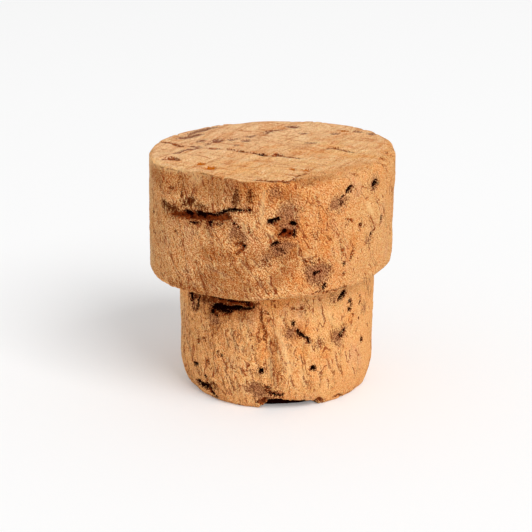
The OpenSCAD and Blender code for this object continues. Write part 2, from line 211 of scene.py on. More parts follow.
SHANK_MARKS = {
    "black": {
        (0.42, 1.1): [(-40, 0.82, -36, 0.83, -31, 0.835)], (0.24, 1): [(-31, 0.835, -25.5, 0.845, -20, 0.85)],
        (0.13, 0.8): [(-21, 0.85, -17, 0.855, -13.5, 0.86)], (0.2, 0.6): [(-34.5, 0.8, -30, 0.805, -26.5, 0.81)],
        (0.26, 0.6): [(-41, 0.785, -38.5, 0.77)],
        (0.12, 0.4): [(-37.5, 0.765, -36, 0.75), (-13, 0.87), (-57.5, 0.85, -56.5, 0.76), (47.5, 0.815)],
        (0.1, 0.5): [(-41.5, 0.9, -36, 0.9, -30, 0.9, -23.5, 0.9), (-5, 0.165, -2.5, 0.14, 1, 0.13, 3.5, 0.145)],
        (0.09, 0.4): [(-23, 0.905, -15, 0.905)], (0.13, 0.5): [(-18, 0.895, -16, 0.89)],
        (0.22, 0.6): [(-60.5, 0.86, -59.5, 0.8)], (0.15, 0.6): [(-52.5, 0.87, -52.5, 0.8, -54, 0.74), (178, 0.6)],
        (0.12, 0.5): [(9, 0.755, 9.5, 0.725)],
        (0.11, 0.8): [(11.5, 0.7, 12.5, 0.655, 15.5, 0.625, 18, 0.61, 18.5, 0.585, 18, 0.57)],
        (0.22, 0.9): [(40, 0.595, 40, 0.565), (-138, 0.42)], (0.1, 0.4): [(41, 0.61, 43, 0.615), (-7, 0.22, -4, 0.2)],
        (0.33, 0.9): [(59, 0.475, 59, 0.455)], (0.3, 1.1): [(21, 0.355)], (0.3, 0.8): [(38, 0.89, 42.5, 0.94)],
        (0.17, 0.6): [(45.5, 0.845, 47.5, 0.84), (46, 0.79, 46.5, 0.765)], (0.17, 0.7): [(57, 0.8), (104, 0.3)],
        (0.21, 0.8): [(-57, 0.27, -54, 0.275)], (0.11, 0.4): [(-33.5, 0.43)], (0.3, 1): [(-9.5, 0.36, -8.5, 0.34)],
        (0.08, 0.4): [(-46.5, 0.22, -46, 0.18)], (0.42, 0.9): [(-57, 0.11, -52, 0.1, -48, 0.09)],
        (0.32, 0.7): [(-46.5, 0.13, -43, 0.06, -41, 0.03)],
        (0.2, 0.8): [(88, 0.62), (154, 0.36, 159, 0.365), (-156, 0.8, -155, 0.77)],
        (0.13, 0.6): [(128, 0.72, 134, 0.73, 139, 0.725)], (0.16, 0.7): [(-118, 0.66)],
        (0.22, 0.8): [(-104, 0.3, -103, 0.28)]},
    "rust": {
        (0.13, 0.5): [(-9, 0.85, -9, 0.8, -8.5, 0.755)],
        (0.08, 0.4): [(-7.5, 0.755, -7, 0.69, -7.5, 0.625, -6, 0.585)], (0.1, 0.3): [(-7.2, 0.838, -4.8, 0.828)],
        (0.08, 0.3): [(8, 0.87, 11.5, 0.86), (-36, 0.47, -36, 0.41)], (0.22, 0.4): [(14.5, 0.86)],
        (0.12, 0.35): [(-53, 0.535, -52.5, 0.49, -51.5, 0.46), (-47.5, 0.535, -46, 0.5), (-44, 0.36, -43, 0.32)],
        (0.12, 0.3): [(68, 0.565, 69, 0.53)], (0.14, 0.3): [(-7, 0.41), (49, 0.725), (55, 0.665), (46, 0.86)],
        (0.3, 0.4): [(-12.5, 0.06, -9, 0.065, -6.5, 0.105)], (0.35, 0.5): [(24.5, 0.03, 27, 0.05, 30, 0.01)],
        (0.22, 0.5): [(37, 0.02, 41, 0.04, 47, 0)], (0.2, 0.4): [(57, 0.02, 60, 0.05)], (0.16, 0.3): [(57, 0.845)],
        (0.5, 0.3): [(-48, 0.11, -44, 0.06)], (0.18, 0.3): [(-5, 0.165, -1, 0.14)],
        (0.14, 0.4): [(112, 0.52), (-170, 0.28)], (0.12, 0.4): [(146, 0.2, 147, 0.15), (-128, 0.22)]},
    "stain": {
        (0.6, 0.1): [(88, 0.58)], (0.6, 0): [(157, 0.33), (-41, 0.74, -36, 0.7)], (0.7, 0.1): [(-138, 0.39)],
        (0.5, 0): [(-104, 0.26), (61, 0.74, 62.5, 0.7), (25, 0.55)], (0.85, 0.1): [(6.5, 0.685, 9, 0.66)],
        (0.75, 0.1): [(36, 0.61, 38.5, 0.52)], (0.3, 0): [(43, 0.62), (14, 0.855)], (0.45, 0): [(34, 0.9)],
        (0.9, 0.15): [(-14, 0.23, -11, 0.16, -9, 0.09)], (0.7, 0): [(-5, 0.12, -3, 0.05)],
        (0.4, 0): [(-59, 0.85, -58, 0.79, -57, 0.725), (-9, 0.35)]},
    # shade: painted shade on the left side of the ridge down the front; elsewhere darker patches
    "shade": {
        (0.8, 0): [(-50, 0.78, -30, 0.79, -14, 0.82), (7, 0.67, 14, 0.64), (-39, 0.72, -36.5, 0.62)],
        (0.5, 0): [(-2, 0.62, -1, 0.42, 0, 0.25)], (0.7, 0): [(36, 0.58), (-12, 0.2, -6, 0.18)]},
    # glow: a darker, warmer orange tint; the band along the shank's top is painted warm shade under the head
    "glow": {
        (0.6, 0): [(12.5, 0.73, 16, 0.7, 18.5, 0.66), (12, 0.52, 16, 0.46), (28, 0.5, 30, 0.4)],
        (0.5, 0): [(-10, 0.85, -8, 0.7, -7, 0.52, -9, 0.44), (47, 0.72, 44, 0.66)], (1.6, 0): [(-30, 0.95, 8, 0.95)]},
    # pale: the long stroke down the front is a painted highlight on the ridge's lit side; the others are paler streaks
    "pale": {
        (0.15, 0): [(0, 0.68, 4, 0.56, 6, 0.42, 8, 0.3)],
        (0.1, 0): [(-4, 0.45, -3, 0.3), (30, 0.8, 33, 0.7), (14, 0.35, 16, 0.22)]},
    "plum": {
        (0.38, 0.15): [(-61.5, 0.85, -59, 0.82, -57, 0.76)], (0.12, 0.1): [(-53, 0.86, -53, 0.8)]},
    "soot": {
        (0.65, 0.25): [(-60, 0.85, -52, 0.86, -40, 0.875, -28, 0.885, -12, 0.9)],
        (0.5, 0.1): [(-41, 0.79, -36, 0.77), (-56, 0.11, -48, 0.09), (-43, 0.16, -39, 0.12)],
        (0.35, 0.1): [(-59, 0.85, -57, 0.73), (-7, 0.22, -5, 0.185, -3, 0.175)], (0.3, 0): [(39, 0.57), (-1, 0.16)]},
    "fold": {
        (0.1, 0.15): [(8, 0.31, 9, 0.23, 12, 0.17), (0, 0.31, 0, 0.23, 3, 0.17), (11, 0.54, 10, 0.49, 12, 0.44),
            (9, 0.42, 11, 0.38), (-15, 0.35, -14, 0.28)],
        (0.09, 0.12): [(15, 0.29, 18, 0.21), (-4, 0.65, -4, 0.57, -3, 0.49),
            (-27, 0.69, -25, 0.65, -25.5, 0.6, -23, 0.55, -22, 0.505), (-29, 0.42, -26, 0.34, -24, 0.31),
            (-29, 0.28, -27, 0.19, -25, 0.15), (20, 0.55, 22, 0.49), (26, 0.36, 27, 0.27), (30, 0.24, 32, 0.15),
            (-20, 0.22, -18, 0.14)],
        (0.08, 0.12): [(-20, 0.55, -19, 0.47), (47, 0.42, 48, 0.34), (-73, 0.52, -69, 0.46),
            (-64.5, 0.415, -61.5, 0.35), (-43.5, 0.525, -41, 0.46), (-30, 0.585, -28, 0.515),
            (-17, 0.68, -15, 0.585), (-14, 0.56, -13, 0.485), (-39, 0.355, -36.5, 0.285), (-31.5, 0.345, -30, 0.245),
            (-21.5, 0.37, -19, 0.28), (-24, 0.245, -22.5, 0.15), (-18, 0.225, -17, 0.13), (-4, 0.57, -2.5, 0.475),
            (1.5, 0.525, 2.5, 0.445), (4.5, 0.425, 6, 0.36), (-2.5, 0.375, -1.5, 0.29), (24.5, 0.315, 26.5, 0.22),
            (30, 0.415, 32.5, 0.31), (43.5, 0.44, 46, 0.325), (50, 0.275, 53, 0.19), (13.5, 0.475, 15, 0.4),
            (24, 0.585, 26, 0.495), (-44.5, 0.69, -42.5, 0.64), (-21, 0.775, -19.5, 0.695), (3.5, 0.795, 5, 0.725),
            (26.5, 0.83, 28.5, 0.725)],
        (0.11, 0.15): [(36, 0.43, 38, 0.32, 41, 0.25)]},
}
# On the top face each point is x and y as shares of the head's radius
TOP_MARKS = {
    # pale: a painted highlight along the front left rim, where it faces the light
    "pale": {
        (0.06, 0): [(-0.97, -0.2, -0.89, -0.43, -0.55, -0.7)], (0.5, 0): [(-0.93, -0.3, -0.9, -0.38)],
        (0.6, 0): [(-0.78, -0.52, -0.7, -0.62)]},
    "black": {
        (0.13, 0.35): [(-0.2, -0.06, -0.13, -0.11, -0.08, -0.13)], (0.2, 0.3): [(-0.87, -0.24, -0.79, -0.26)],
        (0.16, 0.2): [(0.03, -0.14)]},
    "rust": {
        (0.24, 0.3): [(-0.95, 0.33, -0.87, 0.3, -0.78, 0.21, -0.74, 0.16)],
        (0.28, 0.35): [(-0.37, 0.03, -0.28, -0.01, -0.2, -0.06, -0.13, -0.11, -0.04, -0.18, 0.05, -0.2)],
        (0.2, 0.3): [(-0.54, 0.09, -0.48, 0.04, -0.43, 0.05)], (0.42, 0.4): [(0.02, -0.13, 0.07, -0.18)],
        (0.18, 0.2): [(0.05, -0.2, 0.14, -0.245, 0.22, -0.31)],
        (0.62, 0.4): [(-0.88, -0.26, -0.82, -0.22, -0.75, -0.285)],
        (0.3, 0.1): [(-0.13, -0.905, -0.06, -0.93, 0, -0.95, 0.12, -0.965)],
        (0.1, 0.15): [(0.12, -0.975, 0.175, -0.84, 0.225, -0.775, 0.275, -0.75)],
        (0.26, 0.25): [(0.44, -0.01, 0.49, 0.03, 0.53, -0.02, 0.6, -0.09, 0.65, -0.13)], (0.2, 0.2): [(0.88, -0.44)]},
    # shade: here a darker scuff on the worn front right rim
    "shade": {
        (0.5, 0): [(0.15, -0.95, 0.32, -0.9, 0.45, -0.82)]},
    "glow": {
        (0.5, 0): [(0.29, -0.03, 0.46, -0.14), (0.4, 0.09, 0.61, 0.04)],
        (0.7, 0): [(0.55, -0.2, 0.7, -0.28, 0.89, -0.33)], (0.35, 0): [(-0.4, -0.8, -0.15, -0.41)],
        (0.3, 0): [(-0.4, -0.57, -0.08, -0.32), (-0.29, -0.66, -0.06, -0.5)]},
    "amber": {
        (0.7, 0.25): [(-0.58, -0.36, -0.55, -0.42)], (0.65, 0.25): [(-0.51, -0.52, -0.45, -0.56)],
        (0.6, 0.2): [(0.14, -0.64, 0.17, -0.64)], (0.4, 0.15): [(0.24, -0.65, 0.3, -0.65)],
        (0.4, 0.1): [(0.58, 0.58, 0.64, 0.54)]},
    "plum": {
        (0.36, 0.1): [(-0.8, -0.08, -0.77, -0.05, -0.72, 0.04, -0.66, 0.07, -0.58, 0.08)],
        (0.4, 0.1): [(-0.66, 0.14, -0.59, 0.13), (-0.06, 0.52, -0.03, 0.6, 0.03, 0.66, 0.09, 0.66)],
        (0.5, 0.05): [(-0.79, 0.41, -0.69, 0.48, -0.59, 0.57), (-0.71, 0.55, -0.63, 0.68, -0.55, 0.75, -0.47, 0.81)],
        (0.3, 0.1): [(-0.55, 0.21, -0.52, 0.26), (-0.37, 0.36, -0.32, 0.35)],
        (0.75, 0.1): [(-0.49, 0.31, -0.43, 0.345)], (0.5, 0.1): [(-0.235, 0.29, -0.205, 0.33)],
        (0.2, 0.05): [(-0.29, 0.38), (-0.18, 0.42)], (0.32, 0.05): [(-0.23, 0.46, -0.14, 0.48)],
        (0.25, 0.05): [(-0.31, 0.13, -0.29, 0.16)], (0.6, 0.1): [(0.14, 0.78, 0.22, 0.75)],
        (0.38, 0.05): [(0.24, 0.54, 0.3, 0.53)], (0.45, 0.05): [(0.5, 0.48, 0.55, 0.48), (0.81, 0.46, 0.86, 0.45)],
        (0.4, 0.05): [(0.7, 0.54, 0.75, 0.5)], (0.3, 0.05): [(-0.62, 0.3, -0.56, 0.36), (0.28, 0.2, 0.36, 0.17)]},
}
KINDS = ("black", "rust", "stain", "soot", "amber", "plum", "fold", "fold_highlight", "shade", "glow", "pale")
FOLD_HIGHLIGHT_SHIFT = np.array([-0.15, 0.03])  # from a fold to its painted highlight on the groove's wall that faces the light, in millimetres
FAR_OUT = -1.0  # what a place far from every mark of a kind is given, in millimetres

# ---------------------------------------------------------------- noise
DIRECTIONS = np.random.default_rng(7).normal(size=(64, 3))
DIRECTIONS /= np.linalg.norm(DIRECTIONS, axis=1, keepdims=True)
# Odd numbers that mix a cell's place and a seed into a pick from those
CELL_FACTORS = np.array([374761393, 668265263, 1103515245])
SEED_FACTOR = 97531
MIX_FACTOR = 1274126177
WORD = 0xFFFFFFFF


def noise(p, seed=0):
    """Smooth noise, about -1 to 1, with one feature to each unit of p."""
    cell = np.floor(p).astype(np.int64)
    within = p - cell
    fade = within**3 * (within * (within * 6 - 15) + 10)
    total = np.zeros(len(p))
    for corner in itertools.product((0, 1), repeat=3):
        at = cell + corner
        mixed = (at @ CELL_FACTORS + seed * SEED_FACTOR) & WORD
        mixed = ((mixed ^ (mixed >> 13)) * MIX_FACTOR) & WORD
        slope = DIRECTIONS[(mixed ^ (mixed >> 16)) % len(DIRECTIONS)]
        share = np.prod(np.where(corner, fade, 1 - fade), axis=1)
        total += share * np.sum(slope * (within - corner), axis=1)
    return total * 1.6


def rough_noise(p, octaves, seed=0):
    return sum(noise(p * 2**i + 17.3 * i, seed + i) / 2**i for i in range(octaves))


def smooth(edge0, edge1, x):
    t = np.clip((x - edge0) / (edge1 - edge0), 0, 1)
    return t * t * (3 - 2 * t)


def window(b, start, end, soft_start, soft_end):
    """1 between two bearings in degrees and 0 outside them, with soft ends."""
    b = (b + 180) % 360 - 180
    return smooth(start - soft_start, start + soft_start, b) * (1 - smooth(end - soft_end, end + soft_end, b))


# ---------------------------------------------------------------- the base form
COLUMNS = 432
RINGS = COLUMNS // 8
ROW_STEP = 0.197
RIMS_H = 1.9  # what the head's two rims take of its height, about
TOP_INSET = 1.9  # how far in from the head's wall the top face's grid starts
bearings = np.arange(COLUMNS) * 2 * np.pi / COLUMNS
out_x, out_y = np.sin(bearings), -np.cos(bearings)

# Rounding of the two rims of the head at each bearing. The top one is worn round at the front right.
top_round = 0.17 + 1.12 * window(np.degrees(bearings), 9, 95, 3, 30) + 0.03 * np.sin(5 * bearings + 1)
low_round = 0.5 + 0.3 * np.sin(bearings) ** 2 + 0.1 * np.sin(7 * bearings)


def shank_wall_r(z):
    return np.where(z < WALL_FROM, np.sqrt(FOOT_ROUND**2 - (FOOT_MID - z) ** 2), SHANK_R)


def shoulder_plane(x):
    return SHOULDER_Z + SHOULDER_SLOPE * x


def top_plane(x):
    return TOP_Z + TOP_SLOPE * x


def head_centre(z):
    return -HEAD_SHIFT + (z - SHOULDER_Z) * LEAN


def flattened(x, y, z):
    """A row of the head, drawn in towards the head's axis as far as the knife's flat takes the wall there."""
    down = top_plane(x) - z
    aside = (bearings - FLAT_TURN + np.pi) % (2 * np.pi) - np.pi
    hollow = HOLLOW_IN * np.exp(-(aside / HOLLOW_TURN) ** 2) * smooth(HOLLOW_H, 0, down)
    left = (HEAD_R - FLAT_IN - hollow + down * FLAT_IN / FLAT_H) / HEAD_R
    k = np.minimum(1, left / np.maximum(np.cos(bearings - FLAT_TURN), 0.1))
    new_x = head_centre(z) + (x - head_centre(z)) * k
    return new_x, y * k, z + TOP_SLOPE * (new_x - x)


FOOT_R = float(shank_wall_r(np.array(0.0)))


def profile_rows():
    """The rows of points from the foot's flat face up the outside to the top face, each with its region and share."""
    rows = []

    def add(region, share, x, y, z):
        if region in ("head", "top"):
            x, y, z = flattened(x, y, z)
        rows.append((region, share, np.stack([x, y, z], axis=1)))

    for inset in (0.75, 0.55, FOOT_EDGE):
        r = FOOT_R - inset
        add("foot", 0.0, r * out_x, r * out_y, 0 * bearings)
    for t in (0.3, 0.6, 0.85):
        r = FOOT_R - FOOT_EDGE * (1 - t) ** 2
        add("shank", 0.0, r * out_x, r * out_y, FOOT_EDGE * t**2 + 0 * bearings)
    for z in np.linspace(FOOT_EDGE, WALL_TO, round((WALL_TO - FOOT_EDGE) / ROW_STEP)):
        r = shank_wall_r(z)
        add("shank", z / SHOULDER_Z, r * out_x, r * out_y, z + 0 * bearings)
    # the corner under the head, and the shoulder from there out to its rim
    for t in (0.25, 0.6):
        r = SHANK_R + CORNER_REACH * t**2
        z = WALL_TO + (shoulder_plane(r * out_x) - WALL_TO) * (1 - (1 - t) ** 2)
        add("shank", 0.97, r * out_x, r * out_y, z)
    start = SHANK_R + CORNER_REACH
    outer = HEAD_R - low_round
    for t in np.linspace(0, 1, 10):
        r = start + (outer - start) * t
        x = r * out_x - HEAD_SHIFT * t
        add("shoulder", 0.0, x, r * out_y, shoulder_plane(x))
    # the head: its lower rim, its wall and its top rim
    for turn in np.radians([15, 30, 45, 60, 75, 90]):
        r = outer + low_round * np.sin(turn)
        x = r * out_x - HEAD_SHIFT
        rise = low_round * (1 - np.cos(turn))
        add("head", rise / HEAD_H, x, r * out_y, shoulder_plane(x) + rise)
    for t in np.linspace(0, 1, round((HEAD_H - RIMS_H) / ROW_STEP))[1:-1]:
        x = HEAD_R * out_x + head_centre(SHOULDER_Z + t * HEAD_H)
        z_from = shoulder_plane(x) + low_round
        z_to = top_plane(x) - top_round
        z = z_from + (z_to - z_from) * t
        x = HEAD_R * out_x + head_centre(z)
        add("head", (z - shoulder_plane(x)) / HEAD_H, x, HEAD_R * out_y, z)
    for turn in np.radians([0, 15, 30, 45, 60, 75, 90]):
        r = HEAD_R - top_round * (1 - np.cos(turn))
        x = r * out_x + head_centre(TOP_Z)
        z = top_plane(x) - top_round * (1 - np.sin(turn))
        add("head", (z - shoulder_plane(x)) / HEAD_H, x, r * out_y, z)
    for t in (0.15, 0.3, 0.5, 0.75, 1.0):
        r = (HEAD_R - top_round) * (1 - t) + (HEAD_R - TOP_INSET) * t
        x = r * out_x + head_centre(TOP_Z)
        add("top", 1.0, x, r * out_y, top_plane(x))
    return rows


def grid_turn(u, v, ring):
    """How far round the ring of a square grid a point lies, from 0 to 1."""
    if ring == 0:
        return 0.0
    if u == ring and v < ring:
        return (v + ring) / (8 * ring)
    if v == ring and u > -ring:
        return 0.25 + (ring - u) / (8 * ring)
    if u == -ring and v > -ring:
        return 0.5 + (ring - v) / (8 * ring)
    return 0.75 + (u + ring) / (8 * ring)


def disc(rim):
    """Fills a ring of points with a square grid bent round to fit it. Returns the new points, and the grid's indices,
    in which a rim point is its column and a new point counts on from COLUMNS."""
    side = 2 * RINGS + 1
    index = np.zeros((side, side), int)
    points = []
    centre = rim.mean(0)
    for i, j in itertools.product(range(side), repeat=2):
        u, v = i - RINGS, j - RINGS
        ring = max(abs(u), abs(v))
        column = grid_turn(u, v, ring) * COLUMNS
        if ring == RINGS:
            index[i, j] = round(column) % COLUMNS
            continue
        before = int(column) % COLUMNS
        part = column - int(column)
        edge = rim[before] * (1 - part) + rim[(before + 1) % COLUMNS] * part
        index[i, j] = COLUMNS + len(points)
        points.append(centre + (edge - centre) * ring / RINGS)
    return np.array(points), index


rows = profile_rows()
wall_points = np.concatenate([r[2] for r in rows])
foot_points, foot_grid = disc(rows[0][2])
top_points, top_grid = disc(rows[-1][2])
base = np.concatenate([wall_points, foot_points, top_points])

region = np.concatenate(
    [np.repeat(r[0], COLUMNS) for r in rows]
    + [np.repeat("foot", len(foot_points)), np.repeat("top", len(top_points))])
share = np.concatenate(
    [r[1] + 0 * bearings for r in rows] + [np.zeros(len(foot_points)), np.ones(len(top_points))])

faces = []
for i in range(len(rows) - 1):
    a = i * COLUMNS + np.arange(COLUMNS)
    b = i * COLUMNS + (np.arange(COLUMNS) + 1) % COLUMNS
    faces.append(np.stack([a, b, b + COLUMNS, a + COLUMNS], axis=1))


def grid_faces(index, first_rim, first_new, flip):
    at = np.where(index < COLUMNS, index + first_rim, index - COLUMNS + first_new)
    quads = np.stack([at[:-1, :-1], at[1:, :-1], at[1:, 1:], at[:-1, 1:]], axis=2).reshape(-1, 4)
    return quads[:, ::-1] if flip else quads


faces.append(grid_faces(foot_grid, 0, len(wall_points), True))
faces.append(grid_faces(top_grid, (len(rows) - 1) * COLUMNS, len(wall_points) + len(foot_points), False))
faces = np.concatenate(faces)
assert 2 * len(faces) < 200000, f"{2 * len(faces)} triangles"


def normals_of(points):
    corners = points[faces]
    face_normals = np.cross(corners[:, 2] - corners[:, 0], corners[:, 3] - corners[:, 1])
    total = np.zeros_like(points)
    for k in range(4):
        np.add.at(total, faces[:, k], face_normals)
    return total / np.maximum(np.linalg.norm(total, axis=1, keepdims=True), 1e-12)


# ---------------------------------------------------------------- where the marks lie
bearing = np.degrees(np.arctan2(base[:, 0], -base[:, 1]))
head_x = base[:, 0] - head_centre(base[:, 2])
head_bearing = np.degrees(np.arctan2(head_x, -base[:, 1]))
on_head, on_shank, on_top, on_foot, on_shoulder = (
    region == name for name in ("head", "shank", "top", "foot", "shoulder"))
normal = normals_of(base)
up = normal[:, 2]

# what makes the marks' outlines ragged
ragged = np.stack([0.12 * rough_noise(base / 0.9, 2, seed) + 0.09 * noise(base / 0.35, seed + 2) for seed in (11, 21)],
                  axis=1)


def reach(places, path, half_width):
    """How far inside a mark each place lies, negative outside. A mark with a long path thins towards its ends."""
    if len(path) == 1:
        return half_width - np.linalg.norm(places - path[0], axis=1)
    lengths = np.linalg.norm(np.diff(path, axis=0), axis=1)
    best = np.full(len(places), -np.inf)
    gone = 0.0
    for a, b, length in zip(path[:-1], path[1:], lengths):
        t = np.clip((places - a) @ (b - a) / length**2, 0, 1)
        along = (gone + t * length) / lengths.sum()
        width = half_width * (0.4 + 0.6 * np.sqrt(np.sin(np.pi * along).clip(0)))
        best = np.maximum(best, width - np.linalg.norm(places - a - t[:, None] * (b - a), axis=1))
        gone += length
    return best


marks = {kind: np.full(len(base), FAR_OUT) for kind in KINDS}
sunk = np.zeros(len(base))


def lay_marks(table, chosen, places, scale):
    """Records a surface's marks on its vertices: how far inside each mark they lie, and how deep they sink."""
    ids = np.flatnonzero(chosen)
    where = places[ids] + ragged[ids]
    listed = [(kind, size, np.reshape(path, (-1, 2)) * scale)
              for kind, sizes in table.items() for size, paths in sizes.items() for path in paths]
    for kind, (half_width, depth), path in listed:
        margin = half_width - FAR_OUT
        near = np.all((where > path.min(0) - margin) & (where < path.max(0) + margin), axis=1)
        if not near.any():
            continue
        inside = reach(where[near], path, half_width)
        hit = ids[near]
        marks[kind][hit] = np.maximum(marks[kind][hit], inside)
        # a mark sinks from just outside its edge to a little inside it
        sunk[hit] = np.maximum(sunk[hit], depth * smooth(-0.10, 0.20, inside))
        # beside each fold a pale copy is laid: a painted highlight on the groove's lit wall
        if kind == "fold":
            marks["fold_highlight"][hit] = np.maximum(marks["fold_highlight"][hit], reach(where[near], path + FOLD_HIGHLIGHT_SHIFT, half_width))


head_scale = np.array([math.radians(1) * HEAD_R, HEAD_H])
shank_scale = np.array([math.radians(1) * SHANK_R, SHOULDER_Z])
lay_marks(HEAD_MARKS, on_head, np.stack([head_bearing, share], axis=1) * head_scale, head_scale)
lay_marks(SHANK_MARKS, on_shank, np.stack([bearing, share], axis=1) * shank_scale, shank_scale)
lay_marks(TOP_MARKS, on_top | (on_head & (up > 0.3)), np.stack([head_x, base[:, 1]], axis=1), HEAD_R)

# ---------------------------------------------------------------- the surface
# Hand-cut waviness, folds like scales where the rings reach the wall, lumps between creases, and grain. The folds and
# creases lean a little to the left as they rise.
spin = LEAN_OF_FOLDS * (base[:, 2] - SHOULDER_Z) * np.where(base[:, 2] > SHOULDER_Z, 1.0, LEAN_ON_SHANK)
leaning = np.stack([base[:, 0] * np.cos(spin) - base[:, 1] * np.sin(spin),
                    base[:, 0] * np.sin(spin) + base[:, 1] * np.cos(spin), base[:, 2]], axis=1)
tall, taller = leaning * [1, 1, 0.5], leaning * [1, 1, 0.4]
# 1 on upright surfaces, and 1 where the wall runs along the tree's radius
wall = (on_head | on_shank | on_shoulder).astype(float) * smooth(0.9, 0.5, np.abs(up))
side_on = np.abs(np.sin(np.radians(bearing) - GRAIN))
height = WAVES_H * noise(base / 6.0, 31) + LUMPS_H * noise(tall / 2.0, 32)
rings = (leaning @ ALONG) / FOLD_STEP + 0.7 * noise(base / 3.0, 41) + 0.30 * noise(tall / 1.1, 42)
fall = rings - np.floor(rings)
scales = np.where(fall < FOLD_CLIFF, fall / FOLD_CLIFF, (1 - fall) / (1 - FOLD_CLIFF))
fold_share = wall * side_on * (0.3 + 0.7 * smooth(-0.3, 0.4, noise(base / 3.0, 43))) * np.where(on_shank, 1.0, 0.5)
height += fold_share * FOLDS_H * (scales - 0.5)
creases = np.abs(noise(taller / 0.8, 51) + 0.3 * noise(base / 0.45, 52))
height += wall * (0.02 + 0.03 * side_on) * (np.minimum(creases, 0.6) - 0.25)
grain = noise(base / 0.42, 61)
height += wall * (0.020 + 0.040 * side_on) * grain
hatch = noise(np.stack([base @ ALONG / 0.6, base @ ACROSS / 3.5, base[:, 2]], axis=1), 71)
height += on_top * (0.03 * hatch + 0.012 * grain)
rim = on_head & (np.abs(up) > 0.4)
height -= rim * RIM_CHIPS_H * smooth(0.05, 0.55, noise(base / 0.75, 62))
height[on_foot] *= 0.1

points = base + normal * (height - sunk)[:, None]

# The notch in the foot: the wall stands back under the notch's roof, and the foot's face draws back with it
flat_r = np.hypot(points[:, 0], points[:, 1])
roof = np.interp(bearing, NOTCH_BEARINGS, NOTCH_ROOF, left=0, right=0)
roof = np.where(roof > 0, roof + 0.12 * noise(base / 0.7, 81), 0)
drawn = np.where(on_shank, smooth(0.10, -0.10, base[:, 2] - roof) * (roof > 0.1), 0.0)
at_edge = np.interp(bearing, NOTCH_BEARINGS, smooth(0.1, 0.5, np.array(NOTCH_ROOF)), left=0, right=0)
drawn = np.where(on_foot, at_edge * smooth(0.2, 1.0, flat_r / FOOT_R), drawn)
push = drawn * np.maximum(np.where(on_foot, FOOT_R, flat_r) - NOTCH_WALL_R, 0)
points[:, :2] *= (1 - push / np.maximum(flat_r, 1e-6))[:, None]
points[:, 2] = np.maximum(points[:, 2], 0.0)
points[on_foot, 2] = 0.0
# The notch's recessed wall is painted black: painted shade inside the notch
marks["black"] = np.where(on_shank & (drawn > 0), np.maximum(marks["black"], drawn - 0.5), marks["black"])

# What the material reads besides the marks: the ends cut smooth, where fine lines run, painted shade in the creases
# and on the folds' drops, the rougher side (its speckle painted stronger, in part standing for grazing light's shade),
# the warmer side, and a painted sheen along the left edge as seen from the front
back_left = (base[:, 1] - 0.5 * base[:, 0]) / HEAD_R
torn_rim = on_top * window(head_bearing, 13, 58, 5, 6) * smooth(
    11.4, 12.4, np.hypot(head_x, base[:, 1]) + 1.0 * noise(base / 1.5, 91))
fields = {
    **marks,
    "cut": (on_top | on_foot) - 0.8 * torn_rim,
    "lined": wall * (0.05 + 0.95 * side_on**2) * np.where(on_shank, 1.0, 0.6),
    "painted_crease_shade": wall * np.maximum(fold_share * smooth(0.10, 0.03, np.abs(fall - 0.07)),
                                (0.3 + 0.5 * side_on) * smooth(0.14, 0.02, creases)),
    "rough": wall * window(bearing, -130, 10, 30, 25),
    "warm": wall * window(bearing, -130, 36, 30, 15) + on_top * smooth(0.7, -0.6, back_left),
    # painted sheen: paler colour along the left edge as seen from the front
    "painted_left_sheen": wall * window(bearing + 8 * noise(base / 2.5, 83), -108, -77, 14, 10)}

# ---------------------------------------------------------------- the mesh
mesh = bpy.data.meshes.new("stopper_skin")
mesh.from_pydata((points / MM).tolist(), [], faces.tolist())
mesh.validate()
mesh.polygons.foreach_set("use_smooth", np.ones(len(mesh.polygons), bool))
for name, values in fields.items():
    mesh.attributes.new(name, "FLOAT", "POINT").data.foreach_set(
        "value", np.ascontiguousarray(values, dtype=np.float32))
mesh.update()
skin = bpy.data.objects.new("stopper_skin", mesh)
bpy.context.collection.objects.link(skin)
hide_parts("stopper")
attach(skin, "root")


# ---------------------------------------------------------------- materials
def colour(red, green, blue):
    """A colour written as 0 to 255 in each channel, as a linear RGBA."""
    def linear(value):
        value /= 255
        return value / 12.92 if value <= 0.04045 else ((value + 0.055) / 1.055) ** 2.4
    return (linear(red), linear(green), linear(blue), 1.0)


